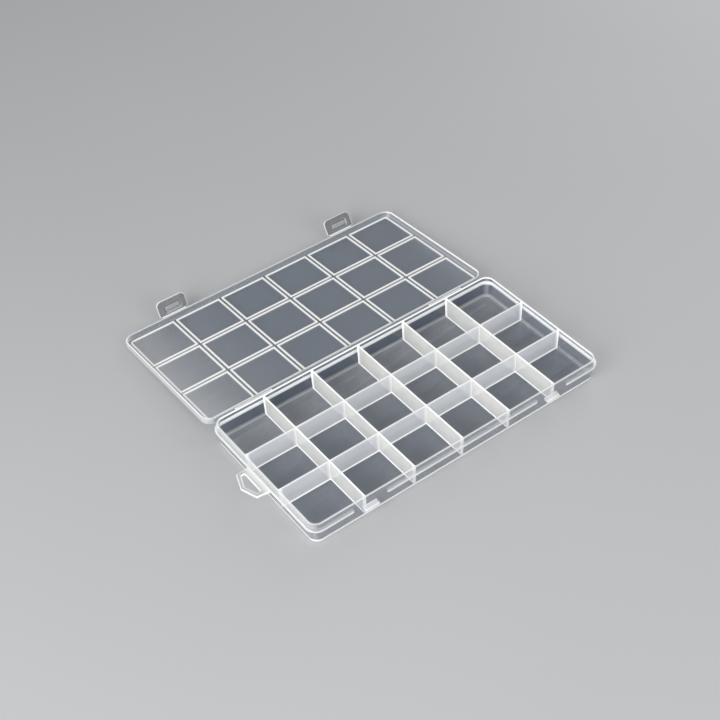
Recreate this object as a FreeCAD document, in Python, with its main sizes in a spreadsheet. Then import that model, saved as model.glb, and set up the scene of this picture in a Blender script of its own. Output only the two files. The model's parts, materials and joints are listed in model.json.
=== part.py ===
# Craft storage organizer: a shallow clear box of 18 fixed compartments with a full lid.
# The lid hangs on two film hinges along the rear and is held shut by two hasp latches at
# the front, each on a film web of its own. It is drawn open, as it lies on a table: the
# lid is folded back past flat until its far edge meets the table, inside up, with the
# latches standing up from that edge.
# Frame: millimetres, +Z up, +X along the length, +Y from the front wall to the hinges.
# The origin is the centre of the tray's underside, which is the table's plane.
import FreeCAD
import Part
import Sketcher
import os

SIZES = (
    ("pocket_length", 36.15, "compartment along X, at the rim"),
    ("pocket_width", 35.05, "compartment along Y, at the rim"),
    ("divider", 1.0, "thickness of a divider"),
    ("wall", 1.2, "thickness of the tray's outer wall"),
    ("floor_thickness", 1.2, "thickness of the tray's floor"),
    ("depth", 15.75, "floor to rim, which is level with the divider tops"),
    ("draft", 2.0, "draft of the tray's walls, degrees"),
    ("corner_radius", 6.5, "outside radius of the tray's upright corners"),
    ("foot_radius", 1.5, "round along the tray's bottom edge"),
    ("parting_height", 13.0, "table to the plane where lid and tray part"),
    ("parting_gap", 0.2, "gap between the lid's skirt and the tray's bead, closed"),
    ("bead_height", 2.3, "height of the bead that the lid's skirt lands on"),
    ("bead_round", 0.8, "round along the bead's outer edges"),
    ("bead_break", 24.3, "length of the break in the bead at each latch"),
    ("skirt_gap", 0.4, "gap between the tray's rim and the lid's skirt"),
    ("skirt", 1.2, "thickness of the lid's skirt"),
    ("lid_gap", 0.15, "gap between the rim and the lid's plate, closed"),
    ("lid_plate", 1.3, "thickness of the lid's plate"),
    ("lid_round", 1.5, "round along the lid's outer edge"),
    ("rib", 1.2, "width of a frame's rib inside the lid"),
    ("rib_height", 1.0, "height of a frame's rib"),
    ("rib_gap", 0.4, "gap between a frame and the divider it straddles"),
    ("rib_edge_gap", 0.9, "gap between an outer frame and the tray's wall"),
    ("rib_corner", 2.6, "outside radius of the frame in each corner of the lid"),
    ("hinge_inset", 35.15, "end of the lid to the middle of a lid hinge"),
    ("hinge_width", 28.0, "width of a lid hinge"),
    ("hinge_reach", 1.97, "bead to the lid's hinge axis"),
    ("hinge_film", 0.5, "thickness of a lid hinge"),
    ("latch_inset", 42.35, "end of the lid to the middle of a latch"),
    ("latch_width", 22.4, "width of a latch"),
    ("latch_length", 12.7, "skirt to the latch's free end, laid flat"),
    ("latch_thickness", 1.1, "thickness of a latch"),
    ("latch_corner", 3.6, "corner radius at the latch's free end"),
    ("latch_root_corner", 1.0, "corner radius at the latch's root"),
    ("web_width", 18.5, "width of the film web that carries a latch"),
    ("web_length", 1.2, "length of that web, laid flat"),
    ("web_film", 0.4, "thickness of that web"),
    ("slot_start", 4.4, "skirt to the near edge of the latch's slot"),
    ("slot_height", 3.1, "slot, along the latch"),
    ("slot_length", 11.0, "slot, across the latch"),
    ("slot_corner", 0.4, "corner radius of the slot"),
    ("bevel_width", 1.8, "bevel round the slot, on the side that meets the catch"),
    ("bevel_depth", 0.5, "how deep that bevel goes"),
    ("lip_height", 2.6, "finger lip at the latch's free end, along the latch"),
    ("lip_proud", 0.7, "how far the lip stands out from the latch's outer face"),
    ("latch_left_rest", 75.0, "left latch, degrees up from the lid's plane"),
    ("latch_right_rest", 64.0, "right latch, degrees up from the lid's plane"),
    ("catch_play", 0.35, "play between a catch and its slot, each side"),
    ("catch_proud", 0.3, "how far a catch stands through its latch"),
    ("catch_slope", 0.8, "how far the top of a catch slopes down to its front"),
    ("catch_round", 0.6, "round on a catch's upright front edges"),
    ("tab_thickness", 2.0, "thickness of the hanging tab"),
    ("tab_band", 2.6, "width of the tab's band"),
    ("tab_root_band", 4.6, "bead to the near edge of the tab's hole"),
    ("tab_root_half", 12.6, "half of the tab's width where it leaves the bead"),
    ("tab_knee_half", 11.5, "half of the tab's width at its two knees"),
    ("tab_knee_reach", 9.1, "bead to the tab's knees"),
    ("tab_reach", 13.1, "bead to the tab's point"),
    ("tab_round", 1.2, "outside round at the tab's corners"),
)
COLUMNS = 6
ROWS = 3
# Share of a divider's height that the lower of two crossing dividers takes.
LAP_SHARE = 0.5

doc = FreeCAD.newDocument("craft_storage_organizer")
sheet = doc.addObject("Spreadsheet::Sheet", "sizes")
for row, (alias, number, note) in enumerate(SIZES, 1):
    sheet.set("A%d" % row, alias)
    sheet.set("B%d" % row, str(number))
    sheet.set("C%d" % row, note)
    sheet.setAlias("B%d" % row, alias)
doc.recompute()


def v(alias):
    """The expression that reads one size from the sheet."""
    return "sizes." + alias


def number(expression):
    """The value of an expression, as a plain number."""
    found = sheet.evalExpression(str(expression))
    return float(getattr(found, "Value", found))


# Sizes that follow from the sheet, as expressions.
PITCH_X = "(%s + %s)" % (v("pocket_length"), v("divider"))
PITCH_Y = "(%s + %s)" % (v("pocket_width"), v("divider"))
RIM = "(%s + %s)" % (v("floor_thickness"), v("depth"))
INNER_X = "((%d * %s - %s) / 2)" % (COLUMNS, PITCH_X, v("divider"))
INNER_Y = "((%d * %s - %s) / 2)" % (ROWS, PITCH_Y, v("divider"))
OUTER_X = "(%s + %s)" % (INNER_X, v("wall"))
OUTER_Y = "(%s + %s)" % (INNER_Y, v("wall"))
FLOOR_IN = "(%s * tan(%s))" % (v("depth"), v("draft"))
FOOT_IN = "(%s * tan(%s))" % (RIM, v("draft"))
BEAD_OUT = "(%s + %s)" % (v("skirt_gap"), v("skirt"))
LID_X = "(%s + %s)" % (OUTER_X, BEAD_OUT)
LID_Y = "(%s + %s)" % (OUTER_Y, BEAD_OUT)
BEAD_TOP = "(%s - %s / 2)" % (v("parting_height"), v("parting_gap"))
HINGE_Y = "(%s + %s)" % (LID_Y, v("hinge_reach"))
HINGE_Z = v("parting_height")
HINGE_X = "(%s - %s)" % (LID_X, v("hinge_inset"))
LATCH_X = "(%s - %s)" % (LID_X, v("latch_inset"))
# The lid's plate and outer face, measured down from the parting plane with the lid open flat.
LID_DEEP = "(%s + %s + %s - %s)" % (RIM, v("lid_gap"), v("lid_plate"), v("parting_height"))
LID_FACE = "(%s - %s)" % (LID_DEEP, v("lid_plate"))
LID_EDGE = "(%s / 2)" % v("parting_gap")
# The open lid dips until the round along its far edge meets the table.
ARM = "(%s + 2 * %s - %s)" % (v("hinge_reach"), LID_Y, v("lid_round"))
DROP = "(%s - %s)" % (LID_DEEP, v("lid_round"))
REACH = "sqrt(%s ^ 2 + %s ^ 2)" % (ARM, DROP)
TILT = "((asin((%s - %s) / %s) - atan(%s / %s)) / 1 deg)" % (HINGE_Z, v("lid_round"), REACH, DROP, ARM)
# A latch turns about the middle of its web.
LATCH_Y = "(%s + 2 * %s + %s / 2)" % (v("hinge_reach"), LID_Y, v("web_length"))
LATCH_Z = "(-%s - %s / 2)" % (LID_EDGE, v("latch_thickness"))
LATCH_SHUT_Z = "(%s + %s + %s / 2)" % (v("parting_height"), LID_EDGE, v("latch_thickness"))
SLOT_NEAR = "(%s - %s / 2)" % (v("slot_start"), v("web_length"))
SLOT_FAR = "(%s + %s)" % (SLOT_NEAR, v("slot_height"))


def body_of(name):
    """A new body, named and labelled as its node."""
    body = doc.addObject("PartDesign::Body", name)
    body.Label = name
    return body


def sketch_of(body, role, lift=None):
    """A sketch on one of the body's origin planes, lifted along its normal."""
    sketch = body.newObject("Sketcher::SketchObject", body.Name + "_sketch")
    plane = [f for f in body.Origin.OriginFeatures if f.Role == role][0]
    sketch.AttachmentSupport = [(plane, "")]
    sketch.MapMode = "FlatFace"
    if lift is not None:
        sketch.setExpression("AttachmentOffset.Base.z", lift)
    return sketch


def polygon(sketch, corners):
    """A closed loop of straight lines whose corners are pairs of expressions."""
    first = sketch.GeometryCount
    count = len(corners)
    places = [FreeCAD.Vector(number(a), number(b), 0) for a, b in corners]
    for i in range(count):
        sketch.addGeometry(Part.LineSegment(places[i], places[(i + 1) % count]), False)
    for i in range(count):
        after = first + (i + 1) % count
        sketch.addConstraint(Sketcher.Constraint("Coincident", first + i, 2, after, 1))
    for i, pair in enumerate(corners):
        for kind, place, expression in zip(("DistanceX", "DistanceY"), places[i], pair):
            made = Sketcher.Constraint(kind, -1, 1, first + i, 1, place)
            index = sketch.addConstraint(made)
            sketch.setExpression("Constraints[%d]" % index, str(expression))


def rectangle(sketch, half_x, low_y, high_y, middle_x="0"):
    """A rectangle about middle_x, from low_y to high_y."""
    low, high = "%s - (%s)" % (middle_x, half_x), "%s + (%s)" % (middle_x, half_x)
    polygon(sketch, ((low, low_y), (high, low_y), (high, high_y), (low, high_y)))


def round_rectangle(sketch, half_x, half_y, radius, middle_y="0"):
    """A rectangle with round corners about (0, middle_y): four lines and four arcs in turn."""
    first = sketch.GeometryCount
    hx, hy, r, my = number(half_x), number(half_y), number(radius), number(middle_y)
    signs = ((1, 1), (-1, 1), (-1, -1), (1, -1))
    centres = [FreeCAD.Vector(a * (hx - r), my + b * (hy - r), 0) for a, b in signs]
    starts = [FreeCAD.Vector(r, 0, 0), FreeCAD.Vector(0, r, 0)]
    starts += [-starts[0], -starts[1]]
    up = FreeCAD.Vector(0, 0, 1)
    quarter = Part.Circle().LastParameter / 4
    for i in range(4):
        circle = Part.Circle(centres[i], up, r)
        sketch.addGeometry(Part.ArcOfCircle(circle, i * quarter, (i + 1) * quarter), False)
        after = (i + 1) % 4
        line = Part.LineSegment(centres[i] + starts[after], centres[after] + starts[after])
        sketch.addGeometry(line, False)
    for i in range(4):
        arc, line, after = first + 2 * i, first + 2 * i + 1, first + (2 * i + 2) % 8
        sketch.addConstraint(Sketcher.Constraint("Tangent", arc, 2, line, 1))
        sketch.addConstraint(Sketcher.Constraint("Tangent", line, 2, after, 1))
    for i, (a, b) in enumerate(signs):
        arc = first + 2 * i
        place_x = "%d * (%s - (%s))" % (a, half_x, radius)
        place_y = "%s + %d * (%s - (%s))" % (middle_y, b, half_y, radius)
        for kind, expression in (("DistanceX", place_x), ("DistanceY", place_y)):
            made = Sketcher.Constraint(kind, -1, 1, arc, 3, number(expression))
            sketch.setExpression("Constraints[%d]" % sketch.addConstraint(made), expression)
        made = Sketcher.Constraint("Radius", arc, r)
        sketch.setExpression("Constraints[%d]" % sketch.addConstraint(made), radius)


def pad(body, sketch, length, middle=False, down=False, taper=None):
    """The sketch made solid over a length, to one side or about its plane."""
    made = body.newObject("PartDesign::Pad", body.Name + "_pad")
    made.Profile = sketch
    made.setExpression("Length", length)
    made.Midplane = middle
    made.Reversed = down
    if taper is not None:
        made.setExpression("TaperAngle", taper)
    doc.recompute()
    return made


def pocket(body, sketch, length, up=False, taper=None):
    """The sketch cut out over a length, below its plane or above it."""
    before = body.Shape.Volume
    made = body.newObject("PartDesign::Pocket", body.Name + "_pocket")
    made.Profile = sketch
    made.setExpression("Length", length)
    made.Reversed = up
    if taper is not None:
        made.setExpression("TaperAngle", taper)
    doc.recompute()
    if not body.Shape.Volume < before:
        raise RuntimeError("nothing cut from " + body.Name)
    return made


def rounded(body, base, radius, chosen):
    """Round the edges of a feature that chosen(edge) picks."""
    names = ["Edge%d" % i for i, e in enumerate(base.Shape.Edges, 1) if chosen(e)]
    if not names:
        raise RuntimeError("no edge to round on " + body.Name)
    made = body.newObject("PartDesign::Fillet", body.Name + "_round")
    made.Base = (base, names)
    made.setExpression("Radius", radius)
    doc.recompute()
    return made


def upright(edge):
    """Whether an edge runs up, or nearly up."""
    if len(edge.Vertexes) < 2:
        return False
    along = edge.Vertexes[-1].Point - edge.Vertexes[0].Point
    return along.Length > 0 and abs(along.z) > 0.9 * along.Length


def near(a, b):
    """Whether two lengths agree."""
    return abs(a - b) < 1e-4


def level(edge, height):
    """Whether an edge lies at a height."""
    box = edge.BoundBox
    return near(box.ZMin, height) and near(box.ZMax, height)


def place_lid(made):
    """Stand a lid piece, drawn open flat about the hinge axis, in its dipped place."""
    turn = FreeCAD.Rotation(FreeCAD.Vector(-1, 0, 0), number(TILT))
    made.Placement = FreeCAD.Placement(FreeCAD.Vector(0, number(HINGE_Y), number(HINGE_Z)), turn)
    made.setExpression("Placement.Rotation.Angle", TILT)
    made.setExpression("Placement.Base.y", HINGE_Y)
    made.setExpression("Placement.Base.z", HINGE_Z)


# Tray shell: the bead with its breaks, the drafted outer block, the cavity, the foot round.
tray = body_of("tray_shell")
tray.AllowCompound = True
bead_low = "(%s - %s)" % (BEAD_TOP, v("bead_height"))
bead_corner = "(%s + %s)" % (v("corner_radius"), BEAD_OUT)
mid_wall = "(%s / 2)" % v("wall")
ring = sketch_of(tray, "XY_Plane", bead_low)
round_rectangle(ring, LID_X, LID_Y, bead_corner)
ring_x = "(%s - %s)" % (OUTER_X, mid_wall)
ring_y = "(%s - %s)" % (OUTER_Y, mid_wall)
round_rectangle(ring, ring_x, ring_y, "(%s - %s)" % (v("corner_radius"), mid_wall))
pad(tray, ring, v("bead_height"))
breaks = sketch_of(tray, "XY_Plane", bead_low)
half_break = "%s / 2" % v("bead_break")
past_bead = "-%s - %s" % (LID_Y, v("wall"))
for side in ("-", ""):
    rectangle(breaks, half_break, past_bead, "-" + INNER_Y, side + LATCH_X)
ring_cut = pocket(tray, breaks, v("bead_height"), up=True)
wall_face = (number(OUTER_X), number(OUTER_Y))
straight_run = number(LID_X) - number(bead_corner)


def outside_of_bead(edge):
    """Whether an edge runs along the bead's outside, or up an end that a break leaves."""
    ends = [p.Point for p in edge.Vertexes]
    beyond = all(abs(p.x) > wall_face[0] or abs(p.y) > wall_face[1] for p in ends)
    tangent = near(abs(ends[0].x), straight_run) or abs(ends[0].x) > straight_run
    return beyond and not (upright(edge) and tangent)


rounded(tray, ring_cut, v("bead_round"), outside_of_bead)
block = sketch_of(tray, "XY_Plane")
foot_x = "(%s - %s)" % (OUTER_X, FOOT_IN)
foot_y = "(%s - %s)" % (OUTER_Y, FOOT_IN)
round_rectangle(block, foot_x, foot_y, "(%s - %s)" % (v("corner_radius"), FOOT_IN))
pad(tray, block, RIM, taper=v("draft"))
cavity = sketch_of(tray, "XY_Plane", RIM)
round_rectangle(cavity, INNER_X, INNER_Y, "(%s - %s)" % (v("corner_radius"), v("wall")))
hollow = pocket(tray, cavity, v("depth"), taper="-" + v("draft"))
rounded(tray, hollow, v("foot_radius"), lambda edge: level(edge, 0))
nodes = [tray]

# Dividers: five across the tray and two along it, lapped half and half where they cross.
# Their ends follow the drafted walls.
LAP = "(%s + %s * %s)" % (v("floor_thickness"), LAP_SHARE, v("depth"))
half_divider = "%s / 2" % v("divider")


def slits(offsets, edge):
    """The corners of slits at the offsets, cut from an edge of a divider to its lap."""
    corners = []
    for offset in offsets:
        before, after = "%s - %s" % (offset, half_divider), "%s + %s" % (offset, half_divider)
        corners += [(before, edge), (before, LAP), (after, LAP), (after, edge)]
    return corners


rows = ["%s * %s" % (row - ROWS / 2, PITCH_Y) for row in range(1, ROWS)]
columns = ["%s * %s" % (column - COLUMNS / 2, PITCH_X) for column in range(1, COLUMNS)]
for count, column in enumerate(columns, 1):
    cross = body_of("cross_divider_%d" % count)
    profile = sketch_of(cross, "YZ_Plane", column)
    foot = "(%s - %s)" % (INNER_Y, FLOOR_IN)
    ends = [("-" + foot, v("floor_thickness"))]
    ends += slits(rows, v("floor_thickness"))
    ends += [(foot, v("floor_thickness")), (INNER_Y, RIM), ("-" + INNER_Y, RIM)]
    polygon(profile, ends)
    pad(cross, profile, v("divider"), middle=True)
    nodes.append(cross)
for name, row in zip(("long_divider_front", "long_divider_rear"), rows):
    along = body_of(name)
    profile = sketch_of(along, "XZ_Plane", "-(%s)" % row)
    foot = "(%s - %s)" % (INNER_X, FLOOR_IN)
    ends = [(foot, v("floor_thickness")), (INNER_X, RIM)]
    ends += slits(columns, RIM)[::-1]
    ends += [("-" + INNER_X, RIM), ("-" + foot, v("floor_thickness"))]
    polygon(profile, ends)
    pad(along, profile, v("divider"), middle=True)
    nodes.append(along)

# Catches: a nub on the front wall below each break in the bead, with a slope on top that
# the latch rides down. Each one fills its latch's slot but for the play.
CATCH_Z = "(%s - (%s + %s) / 2)" % (LATCH_SHUT_Z, SLOT_NEAR, SLOT_FAR)
CATCH_HALF = "(%s / 2 - %s)" % (v("slot_height"), v("catch_play"))
LATCH_OUT = "(%s + %s / 2 + %s / 2)" % (LID_Y, v("web_length"), v("latch_thickness"))
CATCH_OUT = "(%s + %s)" % (LATCH_OUT, v("catch_proud"))
for name, side in (("catch_left", "-"), ("catch_right", "")):
    catch = body_of(name)
    profile = sketch_of(catch, "YZ_Plane", side + LATCH_X)
    low = "(%s - %s)" % (CATCH_Z, CATCH_HALF)
    high = "(%s + %s)" % (CATCH_Z, CATCH_HALF)
    at_wall = ["-%s + (%s - %s) * tan(%s)" % (OUTER_Y, RIM, z, v("draft")) for z in (low, high)]
    front = "-" + CATCH_OUT
    nose = "%s - %s" % (high, v("catch_slope"))
    polygon(profile, ((at_wall[0], low), (at_wall[1], high), (front, nose), (front, low)))
    block = pad(catch, profile, "%s - 2 * %s" % (v("slot_length"), v("catch_play")), middle=True)
    nose_y = -number(CATCH_OUT)
    rounded(catch, block, v("catch_round"), lambda e: upright(e) and near(e.BoundBox.YMax, nose_y))
    nodes.append(catch)

# Hanging tab: a plate with a five-sided hole on the left end of the bead, at the bead's mid
# height. Its root runs into the bead's round and is trimmed to it.
KNEE_SHARES = (0.78, 1.06)
POINT_SHARE = 1.06
band = v("tab_band")
plate = doc.addObject("PartDesign::Body", "tab_plate")
tab_top = "%s - (%s - %s) / 2" % (BEAD_TOP, v("bead_height"), v("tab_thickness"))
outline = sketch_of(plate, "XY_Plane", tab_top)
root_x = "-%s + %s" % (LID_X, v("bead_round"))
root_y = v("tab_root_half")
knee_x = "(-%s - %s)" % (LID_X, v("tab_knee_reach"))
knee_y = v("tab_knee_half")
point_x = "-%s - %s" % (LID_X, v("tab_reach"))
outer = [(root_x, "-" + root_y), (knee_x, "-" + knee_y), (point_x, "0")]
outer += [(knee_x, knee_y), (root_x, root_y)]
polygon(outline, outer)
hole_x = "-%s - %s" % (LID_X, v("tab_root_band"))
hole_knee_x = "%s + %s * %s" % (knee_x, KNEE_SHARES[0], band)
hole_y = "(%s - %s * %s)" % (knee_y, KNEE_SHARES[1], band)
hole_point_x = "%s + %s * %s" % (point_x, POINT_SHARE, band)
hole = [(hole_x, "-" + hole_y), (hole_knee_x, "-" + hole_y), (hole_point_x, "0")]
hole += [(hole_knee_x, hole_y), (hole_x, hole_y)]
polygon(outline, hole)
tab_pad = pad(plate, outline, v("tab_thickness"), down=True)
corners_x = [number(knee_x), number(point_x)]


def tab_corner(edge):
    """Whether an edge stands at one of the tab's three free corners."""
    return upright(edge) and any(near(edge.BoundBox.XMax, x) for x in corners_x)


rounded(plate, tab_pad, v("tab_round"), tab_corner)
tab = doc.addObject("Part::Cut", "hang_tab")
tab.Label = "hang_tab"
tab.Base = plate
tab.Tool = tray
nodes.append(tab)

# Lid panel, drawn open flat about the hinge axis: plate, skirt and the round along its edge.
lid = body_of("lid_panel")
LID_MID = "(%s + %s)" % (v("hinge_reach"), LID_Y)
outline = sketch_of(lid, "XY_Plane", "-" + LID_EDGE)
round_rectangle(outline, LID_X, LID_Y, bead_corner, LID_MID)
pad(lid, outline, "%s - %s" % (LID_DEEP, LID_EDGE), down=True)
recess = sketch_of(lid, "XY_Plane", "-" + LID_EDGE)
in_x = "(%s - %s)" % (LID_X, v("skirt"))
in_y = "(%s - %s)" % (LID_Y, v("skirt"))
round_rectangle(recess, in_x, in_y, "(%s - %s)" % (bead_corner, v("skirt")), LID_MID)
dish = pocket(lid, recess, "%s - %s" % (LID_FACE, LID_EDGE))
rounded(lid, dish, v("lid_round"), lambda e: level(e, -number(LID_DEEP)))
place_lid(lid)
nodes.append(lid)

# Frames inside the lid: one for each compartment, so that two neighbours straddle a divider.
# The four in the corners are rounded as the tray's corners are.
wall_x = "(%s - %s)" % (INNER_X, v("rib_edge_gap"))
wall_y = "(%s - %s)" % (INNER_Y, v("rib_edge_gap"))
frame_x = "(%s / 2 - %s)" % (v("pocket_length"), v("rib_gap"))
frame_y = "(%s / 2 - %s)" % (v("pocket_width"), v("rib_gap"))


def sides(place, count, pitch, half, wall):
    """The low and high side of a frame in its row of frames, at the wall where it is last."""
    middle = "%s * %s" % (place - (count - 1) / 2, pitch)
    low = "-" + wall if place == 0 else "(%s - %s)" % (middle, half)
    high = wall if place == count - 1 else "(%s + %s)" % (middle, half)
    return low, high


def standing_at(edge, x, y):
    """Whether an edge stands upright at (x, y)."""
    return upright(edge) and near(edge.BoundBox.XMin, x) and near(edge.BoundBox.YMin, y)


for row, row_name in enumerate(("front", "middle", "rear")):
    for column in range(COLUMNS):
        frame = body_of("lid_frame_%s_%d" % (row_name, column + 1))
        outline = sketch_of(frame, "XY_Plane", "-" + LID_FACE)
        low_x, high_x = sides(column, COLUMNS, PITCH_X, frame_x, wall_x)
        low_y, high_y = sides(row, ROWS, PITCH_Y, frame_y, wall_y)
        far = "(%s - (%s))" % (HINGE_Y, low_y)
        close = "(%s - (%s))" % (HINGE_Y, high_y)
        polygon(outline, ((low_x, close), (high_x, close), (high_x, far), (low_x, far)))
        left = "%s + %s" % (low_x, v("rib"))
        right = "%s - %s" % (high_x, v("rib"))
        low = "%s + %s" % (close, v("rib"))
        high = "%s - %s" % (far, v("rib"))
        polygon(outline, ((left, low), (right, low), (right, high), (left, high)))
        walls = pad(frame, outline, v("rib_height"))
        if column in (0, COLUMNS - 1) and row in (0, ROWS - 1):
            outer = (number(low_x if column == 0 else high_x), number(far if row == 0 else close))
            inner = (number(left if column == 0 else right), number(high if row == 0 else low))
            walls = rounded(frame, walls, v("rib_corner"), lambda e: standing_at(e, *outer))
            inner_radius = "%s - %s" % (v("rib_corner"), v("rib"))
            rounded(frame, walls, inner_radius, lambda e: standing_at(e, *inner))
        place_lid(frame)
        nodes.append(frame)


def film(name, radius, thickness, angle, width, turn, base):
    """A bent film: a band of thickness bent to a radius over an angle, as wide as width."""
    halves = []
    for part, sign in (("outside", "+"), ("inside", "-")):
        drum = doc.addObject("Part::Cylinder", name + "_" + part)
        drum.Placement = FreeCAD.Placement(FreeCAD.Vector(*[number(b) for b in base]), turn)
        for axis, place in zip("xyz", base):
            drum.setExpression("Placement.Base." + axis, place)
        drum.setExpression("Radius", "%s %s %s / 2" % (radius, sign, thickness))
        drum.setExpression("Height", width)
        drum.setExpression("Angle", angle)
        halves.append(drum)
    made = doc.addObject("Part::Cut", name)
    made.Label = name
    made.Base, made.Tool = halves
    doc.recompute()
    return made


# Lid hinges: two films from the bead to the lid's skirt, bent down with the lid's dip. Each
# lies as far under the hinge axis as the skirt's meeting face lies over it when closed.
FILM_DOWN = "(%s / 2 + %s / 2)" % (v("parting_gap"), v("bead_height"))
BEND = "(%s / tan(%s / 2) - %s)" % (v("hinge_reach"), TILT, FILM_DOWN)
AXIS_X = FreeCAD.Vector(1, 0, 0)
AXIS_Y = FreeCAD.Vector(0, 1, 0)
AXIS_Z = FreeCAD.Vector(0, 0, 1)
toward = FreeCAD.Rotation(AXIS_Z, AXIS_Y, -AXIS_X, "ZXY")
for name, side in (("lid_hinge_left", "-"), ("lid_hinge_right", "")):
    end_x = "%s%s + %s / 2" % (side, HINGE_X, v("hinge_width"))
    base = (end_x, LID_Y, "%s - %s - %s" % (HINGE_Z, FILM_DOWN, BEND))
    nodes.append(film(name, BEND, v("hinge_film"), TILT, v("hinge_width"), toward, base))

# Latch webs and latches: each latch is drawn flat about the middle of its web, and stands up
# from the lid's far edge at its own angle. Its upper face meets the catch, so the slot is
# bevelled there, and the finger lip is on the other face.
LIP_SLOPE_SHARE = 0.4
away = FreeCAD.Rotation(-AXIS_Z, AXIS_Y, AXIS_X, "ZXY")
half_web = "(%s / 2)" % v("web_length")
half_plate = "(%s / 2)" % v("latch_thickness")
tip = "(%s - %s)" % (v("latch_length"), half_web)
lip_start = "(%s - %s)" % (tip, v("lip_height"))
lip_full = "(%s + %s * %s)" % (lip_start, LIP_SLOPE_SHARE, v("lip_height"))
lip_low = "(-%s - %s)" % (half_plate, v("lip_proud"))
latch_side = [(half_web, "-" + half_plate), (lip_start, "-" + half_plate), (lip_full, lip_low)]
latch_side += [(tip, lip_low), (tip, half_plate), (half_web, half_plate)]
root_place = number(half_web)
tip_place = number(tip)
slot_places = (number(SLOT_NEAR), number(SLOT_FAR))
slot_half = number(v("slot_length")) / 2


def at_root(edge):
    """Whether an edge stands at one of the latch's root corners."""
    return upright(edge) and near(edge.BoundBox.YMax, root_place)


def at_tip(edge):
    """Whether an edge stands at one of the latch's free corners."""
    return upright(edge) and near(edge.BoundBox.YMax, tip_place)


def at_slot(edge):
    """Whether an edge stands at one of the slot's corners."""
    box = edge.BoundBox
    beside = near(abs(box.XMax), slot_half)
    return upright(edge) and beside and any(near(box.YMax, y) for y in slot_places)


def round_slot(edge):
    """Whether an edge runs round the slot on the face that meets the catch."""
    ends = [p.Point for p in edge.Vertexes]
    across = all(abs(p.x) < slot_half or near(abs(p.x), slot_half) for p in ends)
    along = all(root_place < p.y < tip_place for p in ends) and not near(ends[0].y, root_place)
    return level(edge, number(half_plate)) and across and along


for name, side in (("left", "-"), ("right", "")):
    rest = v("latch_%s_rest" % name)
    middle = side + LATCH_X
    curl = "(%s / tan(%s / 2))" % (half_web, rest)
    base = ("%s - %s / 2" % (middle, v("web_width")), "%s - %s" % (LATCH_Y, half_web))
    base += ("%s + %s" % (LATCH_Z, curl),)
    web = film("latch_web_" + name, curl, v("web_film"), rest, v("web_width"), away, base)
    place_lid(web)
    nodes.append(web)
    latch = body_of("latch_" + name)
    profile = sketch_of(latch, "YZ_Plane")
    polygon(profile, latch_side)
    made = pad(latch, profile, v("latch_width"), middle=True)
    made = rounded(latch, made, v("latch_corner"), at_tip)
    made = rounded(latch, made, v("latch_root_corner"), at_root)
    opening = sketch_of(latch, "XY_Plane", half_plate)
    rectangle(opening, "%s / 2" % v("slot_length"), SLOT_NEAR, SLOT_FAR)
    made = pocket(latch, opening, v("latch_thickness"))
    made = rounded(latch, made, v("slot_corner"), at_slot)
    bevel = latch.newObject("PartDesign::Chamfer", latch.Name + "_bevel")
    rim = ["Edge%d" % i for i, e in enumerate(made.Shape.Edges, 1) if round_slot(e)]
    bevel.Base = (made, rim)
    bevel.ChamferType = "Two distances"
    bevel.FlipDirection = True
    bevel.setExpression("Size", v("bevel_width"))
    bevel.setExpression("Size2", v("bevel_depth"))
    doc.recompute()
    turn = FreeCAD.Rotation(AXIS_X, number("%s - %s" % (rest, TILT)))
    base_y = "%s + cos(%s) * %s + sin(%s) * %s" % (HINGE_Y, TILT, LATCH_Y, TILT, LATCH_Z)
    base_z = "%s - sin(%s) * %s + cos(%s) * %s" % (HINGE_Z, TILT, LATCH_Y, TILT, LATCH_Z)
    place = FreeCAD.Vector(number(middle), number(base_y), number(base_z))
    latch.Placement = FreeCAD.Placement(place, turn)
    latch.setExpression("Placement.Rotation.Angle", "%s - %s" % (rest, TILT))
    latch.setExpression("Placement.Base.x", middle)
    latch.setExpression("Placement.Base.y", base_y)
    latch.setExpression("Placement.Base.z", base_z)
    nodes.append(latch)

doc.recompute()
for item in doc.Objects:
    if "Invalid" in item.State or "Error" in item.State:
        raise RuntimeError("%s did not rebuild: %s" % (item.Label, item.State))
for node in nodes:
    if node.Shape.isNull() or not node.Shape.isValid() or len(node.Shape.Solids) != 1:
        raise RuntimeError("%s is not one valid solid" % node.Label)

os.makedirs("parts", exist_ok=True)
for node in nodes:
    node.Shape.exportStep(os.path.join("parts", node.Label + ".step"))
    print(node.Label, round(node.Shape.Volume, 2))
print("hinge axis", number(HINGE_Y), number(HINGE_Z), "lid dip", number(TILT))
for name in ("left", "right"):
    base = doc.getObject("latch_" + name).Placement.Base
    print("latch axis", name, base.x, base.y, base.z)
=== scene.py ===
# Craft storage organizer: a clear box of eighteen compartments, lying open with its lid folded back.
# Lengths are in millimetres until a surface goes into its mesh, which is in metres. Every surface is
# a stack of closed rings of points, and each point carries two depths of plastic, one for an eye
# outside and one for an eye that looks through from within: 0 on a plain wall, 1 where the eye looks
# along the plastic, at a rim, a rib, a fillet or a foot. The depths also carry painted light: the
# deepest plastic gives off a painted glow, and on the tray and the lid the depths are raised or
# lowered by side and at corners as painted light and shade. Each point also carries how dim the
# plastic is, from 0 on most walls to 1 on a plate. A dimness below 0 counts only from within.
import json
import math

import bmesh
import bpy
import numpy as np
from mathutils import Matrix, Vector


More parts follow.
